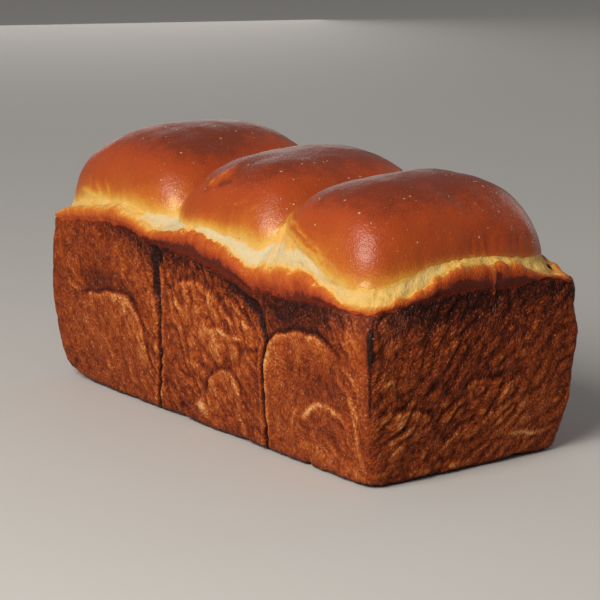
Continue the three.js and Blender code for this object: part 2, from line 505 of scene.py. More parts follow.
def curve_points(points, steps=8):
    """Points on a smooth curve through the given ones."""
    p = np.array(points, float)
    p = np.concatenate([[2 * p[0] - p[1]], p, [2 * p[-1] - p[-2]]])
    result = []
    for a, b, c, d in zip(p, p[1:], p[2:], p[3:]):
        for t in np.arange(steps) / steps:
            bend = (2 * a - 5 * b + 4 * c - d) * t**2 + (3 * b - a - 3 * c + d) * t**3
            result.append(0.5 * (2 * b + (c - a) * t + bend))
    result.append(p[-2])
    return np.array(result)


def path_distance(place, z, path):
    """Distance to a path on a side, more than 0 to the right of it, and how far along the path, 0 to 1."""
    path = curve_points(path)
    nearest = np.full(place.shape, 1e9)
    side = np.ones(place.shape)
    along = np.zeros(place.shape)
    for k, (a, b) in enumerate(zip(path, path[1:])):
        run = b - a
        t = ((place - a[0]) * run[0] + (z - a[1]) * run[1]) / (run @ run)
        held = np.clip(t, 0, 1)
        off_x = place - a[0] - held * run[0]
        off_z = z - a[1] - held * run[1]
        distance = np.hypot(off_x, off_z)
        closer = distance < nearest - 1e-9
        turn = run[0] * off_z - run[1] * off_x
        nearest = np.where(closer, distance, nearest)
        side = np.where(closer, -np.sign(turn), side)
        along = np.where(closer, (k + held) / (len(path) - 1), along)
    return nearest * side, along


# What shows on each side, as paths of (place, height). Creases are where two rolls met. Lobes are folds of
# dough that pressed flat against the tin, each lying to the right of its path: (path, height, groove). Lines
# are thin ridges and pleats: (path, height, tone), where less than 0 is sunk in or darker.
SIDES = {
    "front": {
        "creases": [
            [(-33, 78), (-33, 69), (-31.5, 60), (-30, 48), (-30, 34), (-32, 19), (-36, 6), (-37, 0)],
            [(26, 73), (36, 69.5), (45, 63.5), (50, 56.5), (52, 50), (50, 43), (49, 33), (48.5, 22),
             (46, 0)],
        ],
        "lobes": [
            ([(-98, 44), (-87, 46.5), (-69, 50), (-56, 50), (-48, 44.5), (-44, 38), (-41, 28), (-38.5, 9)],
             1.2, 0.5),
            ([(48, 8), (49.5, 32), (51.5, 45), (55, 51), (61, 56), (70, 59), (83, 60.5), (93, 58.5),
              (108, 51)], 1.5, 0.9),
            ([(3, 8), (6, 21), (11, 27), (20, 31.5), (27.5, 31), (31.5, 24.5), (33.5, 14)], 1.0, 0.4),
            ([(5, 48), (14, 49.5), (23, 48.5), (31, 44), (33, 36)], 0.8, 0.35),
            ([(-28, 56), (-18.5, 62), (-6, 67), (5, 67), (14, 63), (22.5, 58), (31, 53)], 0.7, 0.15),
            ([(20, 63), (26, 65), (33, 62), (40, 57), (51, 51)], 0.7, 0.3),
        ],
        "lines": [
            ([(2, 65), (9, 63), (11.5, 60), (15, 56.5), (17.5, 53)], 0.5, 0.18),
            ([(23, 63), (31, 61), (34, 58), (39, 54), (48, 50)], 0.5, 0.18),
            ([(10, 51.5), (20, 49), (29.5, 47.5), (38, 49.5)], 0.6, 0.25),
            ([(24.5, 57.5), (26, 54.5), (29, 52)], 0.5, 0.18),
            ([(-17, 56.5), (-14, 53.5), (-8, 51)], 0.7, 0.25),
            ([(-118, 56), (-104, 55.5), (-98, 51), (-93, 50)], 0.5, 0.1),
            ([(-108, 49.5), (-101.5, 47), (-94, 45.5)], 0.7, 0.25),
            ([(-45, 60), (-39, 57), (-36, 52.5), (-32, 49)], 0.5, 0.2),
            ([(99.5, 51), (104.5, 43), (110, 38), (114, 30), (117, 22)], 0.6, 0.25),
            ([(103, 53), (107.5, 49), (113, 46), (117, 38)], 0.5, 0.2),
            ([(104, 42), (109, 36), (112, 28), (113, 16), (115, 6)], 0.5, 0.2),
            ([(67, 17), (69, 22), (74.5, 27.5)], 0.4, 0.16),
            ([(76, 20), (79, 25), (85, 28.5)], 0.4, 0.16),
            ([(68, 20), (77, 24), (88, 31), (101, 29), (108, 23)], 0.6, 0.22),
            ([(84, 16), (86, 21), (93, 23.5)], 0.3, 0.12),
            ([(33, 44), (41, 44.5), (49, 47)], -0.5, -0.2),
            # The torn streak on the middle hump, with the crease under it, and the valleys' pale seams.
            ([(-13, 106.5), (-10.5, 109), (-9, 108.5), (-6.5, 111.5), (-4.5, 111.5), (-2, 115), (0.5, 116)],
             0.8, 0.55),
            ([(-11, 106), (-7.5, 108.8), (-6, 108.6), (-3.5, 110.5)], 0.6, 0.5),
            ([(-5, 110.5), (-3, 112.6), (-1, 112.6), (1.5, 114.6)], 0.6, 0.5),
            ([(-14, 103), (-9, 106.5), (2, 110), (4, 112.5)], -0.5, -0.25),
            ([(-41, 99), (-38, 96.5), (-36.5, 93), (-36.5, 89)], -0.7, 0.5),
            ([(42.5, 98), (41, 93), (38.5, 88)], -0.6, 0.4),
            # Golden creases low on the far and the middle hump.
            ([(-89, 101), (-84, 96.5), (-79, 91.5)], 0.5, 0.25),
            ([(-96, 99), (-91, 94.5), (-87, 90.5)], 0.5, 0.25),
            ([(-101, 100), (-99, 95), (-97, 91)], -0.4, 0.2),
            ([(-110, 92), (-98, 91.5), (-87, 90)], 0.4, 0.3),
            ([(12, 102), (17, 104), (22, 106)], 0.3, 0.25),
            ([(24, 102), (29, 105)], 0.3, 0.25),
        ],
    },
    "end": {
        "creases": [],
        "lobes": [
            ([(-53, 30), (-49, 33.5), (-38, 32.5), (-32, 32), (-27, 30), (-21, 25)], 0.8, 0.7),
            ([(-47, 21), (-38, 23.5), (-31, 27)], 0.5, 0.6),
            ([(-27, 37.5), (-21, 39), (-17, 37), (-15, 31)], 0.6, 0.2),
            ([(-8, 35), (-4, 38.5), (1, 40), (11, 39), (20, 43)], 0.7, 0.5),
            ([(8, 33.5), (17, 36), (26, 40)], 0.4, 0.4),
            ([(-14, 18), (-6, 21.3), (2.5, 23), (10, 25), (19, 31)], 0.6, 0.5),
            ([(-17, 13.5), (-11.5, 17), (-7, 19)], 0.5, 0.4),
        ],
        "lines": [
            ([(8, 90), (9.5, 86), (10, 82), (10, 77), (9, 70)], 0.6, 0.45),
            ([(11.5, 87), (12.5, 81), (12, 77), (11.5, 72)], -0.4, -0.3),
            ([(17, 13.5), (29, 12), (37, 10.5), (47, 12.5)], 0.5, 0.4),
            # A small hole, sunk in and darkened as painted shade.
            ([(49, 81.5), (50.5, 80.3), (52.5, 79)], -2.8, -1.6),
            ([(-51, 45), (-46, 46.5), (-42, 45)], 0.5, 0.2),
            *[([(y, 98), (y - 0.8, 94), (y, 90)], -0.5, -0.1) for y in (4, 9, 13, 19, 26, 30, 36)],
        ],
    },
    "back": {
        "creases": [
            [(44, 76), (40, 58), (43, 40), (41, 20), (44, 0)],
            [(-34, 76), (-38, 60), (-36, 38), (-39, 18), (-36, 0)],
        ],
        "lobes": [
            ([(47, 12), (46, 30), (52, 43), (66, 49), (84, 46), (98, 36), (104, 16)], 1.3, 0.6),
            ([(-27, 5), (-24, 20), (-16, 36), (0, 45), (18, 42), (30, 30), (34, 8)], 1.1, 0.6),
            ([(-108, 30), (-98, 46), (-80, 56), (-60, 58), (-42, 50)], 1.1, 0.5),
            ([(-6, 8), (-8, 25), (6, 27), (14, 14)], 0.7, 0.4),
            ([(-90, 24), (-74, 28), (-62, 18)], 0.7, 0.5),
        ],
        "lines": [
            ([(-2, 108), (5, 111), (9, 115)], 0.5, 0.8),
            ([(41, 100), (43, 95), (43, 90)], -0.7, 0.5),
            ([(-37, 99), (-35, 94), (-36, 89)], -0.7, 0.5),
        ],
    },
    "far": {
        "creases": [],
        "lobes": [
            ([(-40, 22), (-22, 31), (-2, 30), (14, 24)], 0.8, 0.5),
            ([(-14, 44), (4, 49), (22, 46), (36, 38)], 0.7, 0.4),
            ([(8, 12), (24, 16), (42, 13)], 0.5, 0.4),
        ],
        "lines": [([(y, 98), (y + 0.8, 94), (y, 90)], -0.5, -0.1) for y in (-30, -22, -17, -4, 8, 21)],
    },
}
CREASE_WIDTH = 1.9
CREASE_DEPTH = 2.3
CREASE_LIPS = 0.45  # height of the soft ridges beside a crease
CREASE_PAINTED_SHADE = -0.42
LOBE_REACH = 15  # how far in from a lobe's edge its pad has sunk away
LOBE_SHADE_REACH = 6
LINE_WIDTH = 1.1
STRAY_LINES = {"front": 34, "end": 18, "back": 44, "far": 22}  # how many short wrinkles more each side has


def stray_lines(name):
    """Short wrinkles strewn over a side, mostly leaning as its fibres do."""
    rng = np.random.default_rng(STRAY_LINES[name])
    is_long = name in LONG_SIDES
    half = HALF_LENGTH if is_long else HALF_WIDTH
    lines = []
    for _ in range(STRAY_LINES[name]):
        angle = (-1 if is_long else 1) * rng.normal(1.0, 0.35)
        run = rng.uniform(2.5, 8) * np.array([math.cos(angle), math.sin(angle)])
        middle = np.array([rng.uniform(-0.95, 0.95) * half, rng.uniform(6, 68)])
        bow = rng.normal(0, 0.25) * np.array([-run[1], run[0]])
        height = rng.uniform(0.2, 0.55)
        lines.append(([middle - run, middle + bow, middle + run], height, rng.uniform(0.04, 0.16)))
    return lines


def side_relief(name, place, z, rim):
    """Relief in mm and change of tone of a side, at points given by their place along it and height."""
    shape = SIDES[name]
    relief = np.zeros(place.shape)
    tone = np.zeros(place.shape)
    wobble = 0.9 * layered_noise(np.stack([place, z, 0 * z], -1), 7, 3, 31)
    below_rim = smoothstep(0, 4, rim - z)
    for path in shape["creases"]:
        # Each crease is widest and deepest at the rim, and darkened along its cut as painted shade.
        distance, along = path_distance(place, z, path)
        width = CREASE_WIDTH * (0.5 + 1.2 * (1 - along) ** 3)
        cut = below_rim * bell(distance + wobble, width)
        relief -= CREASE_DEPTH * (0.55 + 0.6 * (1 - along)) * cut
        relief += CREASE_LIPS * below_rim * bell(np.abs(distance) - 2.6 * width, width)
        tone += CREASE_PAINTED_SHADE * cut
    for path, height, groove in shape["lobes"]:
        distance, along = path_distance(place, z, path)
        distance = distance + wobble
        fade = smoothstep(0, 0.15, along) * smoothstep(0, 0.15, 1 - along)
        inside = smoothstep(-0.7, 0.9, distance)
        pad = inside * np.exp(-np.maximum(distance, 0) / LOBE_REACH)
        shade = (1 - inside) * np.exp(np.minimum(distance, 0) / LOBE_SHADE_REACH)
        cut = bell(distance + 0.9, 1.0)
        relief += fade * (0.6 * height * pad - 0.5 * groove * cut)
        # Painted shadow darkens the side just beyond the lobe's edge, and painted shade darkens its groove.
        tone += fade * (height * (0.08 * pad - 0.12 * shade) - 0.08 * groove * cut)
    for path, height, tint in shape["lines"] + stray_lines(name):
        distance, along = path_distance(place, z, path)
        fade = smoothstep(0, 0.3, along) * smoothstep(0, 0.3, 1 - along)
        line = fade * bell(distance + 0.5 * wobble, LINE_WIDTH)
        relief += 0.8 * height * line
        # The lines' tone is partly the crust's own colour and partly painted: paler on raised ridges as
        # painted highlight, darker in sunk pleats as painted shade.
        tone += 0.7 * tint * line
    return relief, tone


# ---- relief

# The crust's fibres run in these directions on the long sides, on the short sides, and upright.
FIBRE_DIRECTIONS = {"long": (0.55, 0, -0.84), "short": (0, -0.75, -0.66), "upright": (0, 0, 1)}

# The uneven dough of each zone, as rows of amount and size in mm, octaves and seed.
SIDE_WAVES = [(0.5, 17, 1, 54), (0.2, 5, 2, 55)]
LIP_WAVES = [(0.7, 13, 1, 61), (0.3, 5, 1, 62)]
TORN_WAVES = [(0.8, 5, 3, 64)]
HUMP_WAVES = [(0.9, 30, 1, 71), (0.4, 11, 1, 72), (0.12, 3.5, 1, 73)]

# Folds where the skin stretched, low on the hump at +X: where they are along the front and half how far they
# run there, how far over the skin's edge they are and half that range, and their spacing.
FOLDS_PLACE, FOLDS_REACH = 70, 17
FOLDS_RISE, FOLDS_RISE_REACH = 4.5, 3.2
FOLDS_SPACING = 4.0


def fibre_basis(direction):
    """Rows of unit vectors: along the fibres, then two across them."""
    along = np.array(direction, float)
    along /= np.linalg.norm(along)
    across = np.cross(along, (0.3, 0.9, 0.2))
    across /= np.linalg.norm(across)
    return np.array([along, across, np.cross(along, across)])


def fibre_noise(points, direction, length, width, seed, function=noise):
    """Noise drawn out along one of the fibre directions, on slightly wavy lines."""
    wavy = points + np.stack([1.6 * noise(points, 17, seed + k) for k in range(3)], -1)
    basis = fibre_basis(FIBRE_DIRECTIONS[direction])
    return function(wavy @ basis.T, np.array([length, width, width]), seed)


def side_weights(normals):
    """How much each vertex faces each side; nothing on level parts."""
    steepness = np.linalg.norm(normals[:, :2], axis=1)
    plan = normals[:, :2] / np.maximum(steepness, 1e-6)[:, None]
    steep = smoothstep(0.15, 0.4, steepness)
    return {
        "front": steep * np.clip(-plan[:, 1], 0, 1) ** 2,
        "end": steep * np.clip(plan[:, 0], 0, 1) ** 2,
        "back": steep * np.clip(plan[:, 1], 0, 1) ** 2,
        "far": steep * np.clip(-plan[:, 0], 0, 1) ** 2,
    }


def rise_over_skin_edge(grid_points):
    """Distance over the surface from each point of the top grid to the nearest stretch of its border."""
    best = np.full(grid_points.shape[:2], 1e9)
    for axis in (0, 1):
        step = np.linalg.norm(np.diff(grid_points, axis=axis), axis=-1)
        start = np.insert(np.cumsum(step, axis=axis), 0, 0, axis=axis)
        stop = np.take(start, [-1], axis=axis) - start
        best = np.minimum(best, np.minimum(start, stop))
    return best


class Loaf:
    """The loaf's points and what is known of each of them."""

    def __init__(self):
        inset, z, zone = profile_rows()
        x, y = outline(STATION_X, STATION_Y, inset)
        rings = np.stack([x, y, z], -1)
        self.ring, self.grid, self.quads = make_topology(len(rings))
        top = top_grid(rings[-1])
        self.points = np.concatenate([rings.reshape(-1, 3), top[1:-1, 1:-1].reshape(-1, 3)])
        self.count = len(self.points)

        # The zone is as in profile_rows, and 3 all over the skin.
        self.zone = np.full(self.count, 3.0)
        self.zone[: zone.size] = zone.ravel()
        self.rise = np.zeros(self.count)
        self.rise[self.grid.ravel()] = rise_over_skin_edge(self.points[self.grid]).ravel()
        self.rise[self.ring[-1]] = 0
        nearest = ((self.points[:, None, :2] - rings[-1][None, ::4, :2]) ** 2).sum(-1).argmin(1) * 4
        self.station = np.concatenate([np.tile(np.arange(len(STATION_X)), len(rings)), nearest[zone.size:]])
        self.rim = rim_line[self.station]
        self.normals = vertex_normals(self.points, self.quads)
        self.weights = side_weights(smoothed(self.normals, self.quads, 3))

        self.is_side = smoothstep(1.06, 0.98, self.zone)
        self.is_lip = smoothstep(0.98, 1.06, self.zone) * smoothstep(2.1, 1.9, self.zone)
        self.is_shred = smoothstep(1.9, 2.1, self.zone) * smoothstep(3.0, 2.9, self.zone)
        self.is_skin = smoothstep(2.95, 3.0, self.zone)

    def displace(self, amount):
        self.points = self.points + self.normals * amount[:, None]
        self.normals = vertex_normals(self.points, self.quads)


def at_vertices(loaf, sides):
    """ring_curve's value at each vertex."""
    return ring_curve(sides)[loaf.station]


def long_side_share(loaf):
    return loaf.weights["front"] + loaf.weights["back"]


def add_lines(loaf):
    """Creases, lobes and lines of the four sides, with the tone that they give."""
    p = loaf.points
    relief = np.zeros(loaf.count)
    loaf.tone = np.zeros(loaf.count)
    for name, weight in loaf.weights.items():
        place = p[:, 0] if name in LONG_SIDES else p[:, 1]
        near = weight > 0.02
        part, tone = side_relief(name, place[near], p[near, 2], loaf.rim[near])
        relief[near] += weight[near] * part
        loaf.tone[near] += weight[near] * tone
    return relief


# How wrinkled the crust is round the sides, from 0 to about 1.
WRINKLES = {
    "front": [(-118, 0.8), (-95, 0.5), (-60, 0.6), (-40, 1), (-20, 1.25), (15, 1.35), (42, 1.1), (54, 0.6),
              (85, 0.6), (100, 1.1), (118, 0.9)],
    "end": [(-50, 1.1), (-20, 1.4), (10, 1.4), (35, 0.8), (52, 1)],
    "back": [(116, 0.9), (90, 0.6), (60, 0.7), (40, 1.2), (0, 1.3), (-30, 1.3), (-50, 0.7), (-90, 0.7),
             (-116, 1)],
    "far": [(50, 1.2), (10, 1.6), (-25, 1), (-50, 1.1)],
}


def add_side_relief(loaf):
    """All relief of the sides: their lines, and lumps along the fibres with wrinkles between them."""
    p = loaf.points
    lines = add_lines(loaf)
    long = long_side_share(loaf)
    upright = upright_share(loaf)
    lumps = 0
    shares = {"long": (1 - upright) * long, "short": (1 - upright) * (1 - long), "upright": 0.6 * upright}
    for seed, (direction, share) in enumerate(shares.items(), 51):
        large = fibre_noise(p, direction, 14, 6.0, seed, billowed)
        small = fibre_noise(p, direction, 6.5, 3.0, seed + 10, billowed)
        lumps = lumps + share * (0.9 * large + 0.5 * small - 0.7)
    patchy = 0.6 + 0.4 * smoothstep(-0.5, 0.5, noise(p, 20, 57))
    wrinkled = at_vertices(loaf, WRINKLES) * patchy
    fade_at_base = smoothstep(0.5, 4, p[:, 2])
    relief = loaf.is_side * fade_at_base * (wrinkled * lumps + waves(p, SIDE_WAVES))
    relief = relief + (1 - loaf.is_skin) * fade_at_base * lines + loaf.is_skin * lines
    # The relief less its smoothed self: the colour uses it to paint highlight on raised parts and shade in
    # hollows.
    loaf.crest = np.clip((relief - smoothed(relief, loaf.quads, 8)) / 0.5, -1, 1)
    loaf.displace(relief)


def upright_share(loaf):
    """Where the sides' fibres stand upright: under the fold of the roll at +X, and partly by the corners."""
    p = loaf.points
    fold = smoothstep(51, 57, p[:, 0]) * smoothstep(58, 50, p[:, 2]) * loaf.weights["front"]
    corner = 0.6 * bell(np.abs(p[:, 0]) - HALF_LENGTH, CORNER_REACH) * long_side_share(loaf)
    return np.clip(np.maximum(fold, corner), 0, 1)


def add_lip_relief(loaf):
    """The lip's soft lumps and fibres, and the crumb that tore above it."""
    p = loaf.points
    fibres = fibre_noise(p, "upright", 6, 1.9, 63)
    relief = loaf.is_lip * (waves(p, LIP_WAVES) + 0.3 * fibres)
    t = np.clip(loaf.zone - 2, 0, 1)
    within = np.sin(np.pi * np.clip(t, 0.02, 0.98)) ** 0.5
    relief += loaf.is_shred * within * (waves(p, TORN_WAVES) - 0.2)
    loaf.displace(relief)


def add_hump_relief(loaf):
    """Soft waves of the humps' skin, its edge, and the pleats and stretch folds low on the humps."""
    p = loaf.points
    edge = bell(loaf.rise - 1.2, 1.6)
    pleats = fibre_noise(p, "upright", 30, 6.5, 74)
    low = smoothstep(14, 5, loaf.rise) * smoothstep(0, 3, loaf.rise)
    at_ends = 0.25 + 0.75 * (loaf.weights["end"] + loaf.weights["far"])
    stretched = bell(ring_distance("front", FOLDS_PLACE)[loaf.station], FOLDS_REACH)
    stretched = stretched * bell(loaf.rise - FOLDS_RISE, FOLDS_RISE_REACH)
    folds = 0.45 * stretched * np.sin(2 * math.pi * loaf.rise / FOLDS_SPACING + 3 * noise(p, 9, 75))
    relief = waves(p, HUMP_WAVES) * smoothstep(0, 4, loaf.rise)
    relief = relief + 0.25 * low * at_ends * pleats + 0.08 * edge + folds
    loaf.tone += loaf.is_skin * 0.5 * folds
    loaf.displace(loaf.is_skin * relief)


# ---- browning

# How strong the dark band under the rim is, from 0 to 1, and how far down it reaches in mm.
RIM_BURN = {
    "front": [(-118, 0.3), (-98, 0.25), (-80, 0.35), (-62, 0.7), (-45, 1), (-24, 0.9), (-8, 0.7), (8, 0.65),
              (24, 0.6), (45, 0.95), (66, 0.95), (90, 0.75), (118, 0.55)],
    "end": [(-50, 0.6), (-30, 0.9), (0, 0.9), (12, 0.7), (35, 0.7), (52, 0.8)],
    "back": [(110, 0.8), (60, 0.7), (43, 1), (10, 0.7), (-36, 1), (-70, 0.6), (-110, 0.5)],
    "far": [(40, 0.7), (0, 0.9), (-40, 0.6)],
}
BURN_REACH = {
    "front": [(-118, 3), (-80, 4), (-58, 6), (-40, 10), (-28, 9), (-12, 7), (4, 6), (18, 6), (30, 8),
              (46, 13), (60, 12), (80, 10), (104, 9), (118, 9)],
    "end": [(-52, 9), (-30, 13), (0, 13), (30, 12), (52, 10)],
    "back": [(110, 9), (60, 8), (43, 13), (10, 7), (-36, 13), (-70, 7), (-110, 6)],
    "far": [(40, 9), (0, 11), (-40, 7)],
}
FOOT_DARK_REACH = 2.2  # how far up the edge round the base is dark, in mm: partly burned crust and partly painted shadow where the loaf meets the floor

# How much paler (more than 0) or browner the lip is than usual.
LIP_TONE = {
    "front": [(-118, 0.22), (-105, 0.14), (-72, 0.12), (-58, 0.16), (-42, 0.12), (-30, -0.16), (-12, -0.26),
              (5, -0.28), (25, -0.24), (38, -0.1), (55, 0), (70, -0.08), (80, -0.16), (95, -0.12), (108, 0),
              (118, 0.12)],
    "end": [(-52, 0.12), (-40, 0.06), (-28, -0.14), (-10, -0.26), (5, -0.26), (30, -0.18), (46, 0),
            (54, 0.2)],
    "back": [(116, 0.05), (80, -0.2), (43, 0.05), (10, -0.15), (-36, 0.1), (-80, -0.15), (-116, 0)],
    "far": [(50, 0.05), (20, -0.2), (-25, -0.25), (-50, 0)],
}
# How warm a yellow the torn crumb is, from 0 to 1: partly the crumb's own golden colour and partly painted
# glow, standing in for light scattered through the crumb where it lies in shade.
CRUMB_WARMTH_AND_GLOW = {
    "front": [(-118, 0.6), (-60, 0.4), (-40, 0.15), (50, 0.05), (85, 0.4), (118, 0.85)],
    "end": [(-50, 0.9), (-30, 0.75), (10, 0.75), (52, 0.9)],
    "back": [(116, 0.5), (80, 0.3), (20, 0.2), (-40, 0.3), (-116, 0.5)],
    "far": [(50, 0.5), (0, 0.4), (-50, 0.6)],
}
# How wide the golden part of the humps' skin is over its edge, in mm.
GOLD_REACH = {
    "front": [(-118, 4), (-85, 4), (-60, 6.5), (-37, 8.5), (-22, 2.8), (-5, 3.4), (10, 4.8), (30, 7),
              (42, 8), (50, 6), (56, 7), (64, 8), (80, 8.5), (100, 9.5), (118, 8)],
    "end": [(-50, 6.5), (-38, 4), (-25, 2.6), (0, 2.4), (20, 2.4), (45, 2.6)],
    "back": [(110, 3), (60, 7), (43, 14), (0, 9), (-36, 15), (-80, 10), (-110, 6)],
    "far": [(40, 4), (0, 5), (-40, 5)],
}
# Patches that are burned, paler (a tone over 0) or darker, raised, glossy, or torn open to the crumb: side,
# place along it, height, half size along and up, and how much of each. On top the place is along X and the
# height stands for the place along Y.
PATCHES = [
    ("front", -33, 74, 7, 7, {"burn": 1.2, "tone": -0.14}),
    ("front", -32, 63, 2.2, 8, {"burn": 1.1, "tone": -0.16}), ("front", -50, 78, 10, 3, {"burn": 0.8}),
    ("front", -14, 74, 9, 3, {"burn": 0.8}), ("front", 50, 61, 4, 7, {"burn": 1}),
    ("front", 53, 53, 3, 5, {"burn": 0.7}), ("front", 46, 67, 7, 4, {"burn": 0.5}),
    ("end", -HALF_WIDTH, 60, 1.8, 14, {"burn": 0.8, "tone": -0.22, "relief": 0.3}),
    ("end", -HALF_WIDTH, 66, 3, 3, {"burn": 0.5, "tone": -0.15, "relief": 0.5}),
    ("end", 1 - HALF_WIDTH, 58, 3.2, 3, {"burn": 0.5, "tone": -0.15, "relief": 0.4}),
    ("end", -HALF_WIDTH, 40, 1.2, 9, {"burn": 0.7, "tone": -0.1}), ("back", 43, 70, 6, 10, {"burn": 0.9}),
    ("back", -36, 71, 5, 9, {"burn": 0.9}), ("front", 107, 72, 11, 6, {"tone": 0.1, "gloss": 0.3}),
    ("end", -42, 71, 14, 7, {"tone": 0.08, "gloss": 0.3}), ("front", 82, 40, 16, 12, {"tone": -0.08}),
    ("front", 111, 62, 4, 8, {"tone": 0.14}), ("front", -74, 55, 18, 4, {"tone": -0.12}),
    ("front", 9, 50, 26, 12, {"tone": 0.06}), ("front", 14, 38, 14, 8, {"tone": 0.08}),
    ("front", -6, 26, 12, 8, {"tone": 0.08}), ("front", 0, 10, 4.5, 4, {"tone": 0.34, "relief": 0.4}),
    ("front", 85, 66, 20, 6, {"tone": -0.11}), ("front", 62, 64, 9, 4, {"tone": -0.12}),
    ("top", 66, -42, 16, 18, {"tone": -0.16}), ("top", 103, -44, 11, 9, {"tone": -0.08}),
    ("top", 113, -34, 6, 8, {"tone": 0.08}), ("top", 32, -25, 12, 25, {"tone": 0.08}),
    ("top", -90, -20, 22, 20, {"tone": 0.06}), ("top", 112, 15, 9, 24, {"tone": -0.08}),
    ("front", -90, 23, 20, 13, {"tone": 0.1}), ("front", 37, 44, 8, 14, {"tone": 0.12}),
    ("end", -20, 68, 26, 8, {"tone": -0.11}), ("end", -48, 14, 8, 10, {"tone": 0.02}),
    ("end", -5, 27, 12, 11, {"tone": 0.07}), ("end", 45, 45, 9, 25, {"tone": -0.06}),
    ("end", 18, 50, 34, 34, {"tone": -0.1}), ("front", 92, 40, 14, 5, {"tone": -0.1}),
    ("front", 84, 29.5, 12, 3, {"tone": 0.16}), ("front", 89, 21, 9, 5, {"tone": -0.1}),
    ("front", 57, 14, 6, 4, {"tone": 0.14}), ("front", 80, 9, 12, 4, {"tone": 0.16}),
    ("front", 112, 30, 6, 20, {"tone": 0.06}), ("front", 108, 6, 9, 6, {"tone": 0.12}),
    ("end", -20, 64, 6, 3, {"tone": 0.1}), ("end", 31, 20, 15, 10, {"tone": 0.14}),
    ("end", 35, 45, 18, 22, {"tone": 0.05}), ("front", -69, 91, 3, 3, {"relief": 0.3, "crumb": 0.4}),
    ("front", -47, 88, 5, 3, {"relief": 0.5, "crumb": 0.6}),
    ("front", -34, 86, 3.5, 4, {"relief": 0.4, "crumb": 0.45}),
    ("front", -20, 88, 6, 3, {"relief": 0.5, "crumb": 0.55}),
    ("front", -4, 89, 4, 3, {"relief": 0.6, "crumb": 0.7}),
    ("front", 7, 88, 6, 4, {"relief": 0.5, "crumb": 1.2}),
    ("back", 60, 89, 6, 3, {"relief": 0.4, "crumb": 1.1}),
    ("back", -12, 89, 5, 3, {"relief": 0.4, "crumb": 1}),
    ("back", -60, 88, 7, 3, {"relief": 0.4, "crumb": 1}), ("end", HALF_WIDTH, 71, 4, 4, {"relief": 1.3}),
    ("end", HALF_WIDTH, 53, 4, 8, {"relief": 1.1}),
]


def patch_amount(loaf, key):
    """How much of something the patches give each vertex."""
    total = np.zeros(loaf.count)
    x, y, z = loaf.points.T
    for side, place, height, size, size_up, amounts in PATCHES:
        if key not in amounts:
            continue
        if side == "top":
            share = loaf.is_skin * bell(x - place, size) * bell(y - height, size_up)
        else:
            away = ring_distance(side, place)[loaf.station]
            share = bell(away, size) * bell(z - height, size_up)
        total += amounts[key] * share
    return total


def add_browning(loaf):
    """How burnt, baked and glossy each vertex is."""
    p = loaf.points
    strength = at_vertices(loaf, RIM_BURN)
    reach = at_vertices(loaf, BURN_REACH)
    below = np.maximum(loaf.rim - p[:, 2], 0)
    patchy = 1 + 0.25 * noise(p, 9, 81)
    burn = strength * np.exp(-((below / (reach * patchy)) ** 1.7))
    # The dark edge round the base is partly burned crust and partly painted shadow where the loaf meets the
    # floor.
    foot = 0.9 * bell(p[:, 2], FOOT_DARK_REACH)
    burn = np.maximum(np.maximum(burn, foot), patch_amount(loaf, "burn"))
    loaf.burn = np.where(loaf.zone > 1.3, 0, burn)

    # The crown is darker, partly from longer baking and partly as painted shade of a top turned from the
    # light.
    crown = smoothstep(0.84 * HEIGHT, HEIGHT, p[:, 2])
    fade = 1 - np.exp(-((loaf.rise / (1.25 * at_vertices(loaf, GOLD_REACH))) ** 1.05))
    loaf.bake = 0.74 * fade + 0.3 * crown

    band = (skin_line - cream_line)[loaf.station]
    tall = smoothstep(10, 15, band)
    up_band = smoothstep(2.75 - 0.45 * tall, 3.0 - 0.3 * tall, loaf.zone)
    golden = smoothstep(5.5, 2.0, band) + 0.9 * up_band - patch_amount(loaf, "crumb")
    loaf.golden = np.clip(golden, 0, 1)

    loaf.warmth = at_vertices(loaf, CRUMB_WARMTH_AND_GLOW)
    loaf.gloss = np.clip(patch_amount(loaf, "gloss") * loaf.is_side + 0.2 * loaf.is_lip, 0, 1)
    loaf.tone += patch_amount(loaf, "tone") + loaf.is_lip * at_vertices(loaf, LIP_TONE)


# ---- mesh


def add_attribute(mesh, name, values):
    attribute = mesh.attributes.new(name, "FLOAT", "POINT")
    attribute.data.foreach_set("value", np.asarray(values, np.float32))


def make_loaf_mesh(loaf):
    points = loaf.points.copy()
    points[:, 2] = np.maximum(points[:, 2], 0)
    faces = loaf.quads.tolist() + [loaf.ring[0][::-1].tolist()]
    mesh = bpy.data.meshes.new("loaf_crust")
    mesh.from_pydata((points * MM).tolist(), [], faces)
    mesh.polygons.foreach_set("use_smooth", np.ones(len(faces), bool))
    looks = {
        "zone": loaf.zone,
        "bake": loaf.bake,
        "golden": loaf.golden,
        "warmth": loaf.warmth,
        "burn": loaf.burn,
        "tone": loaf.tone,
        "crest": loaf.crest,
        "gloss": loaf.gloss,
        "long_side": long_side_share(loaf) / np.maximum(sum(loaf.weights.values()), 1e-6),
        "upright": upright_share(loaf),
    }
    for name, values in looks.items():
        add_attribute(mesh, name, values)
    mesh.update()
    return mesh


def make_loaf():
    loaf = Loaf()
    loaf.displace(patch_amount(loaf, "relief"))
    add_side_relief(loaf)
    add_lip_relief(loaf)
    add_hump_relief(loaf)
    add_browning(loaf)
    return loaf


# ---- materials


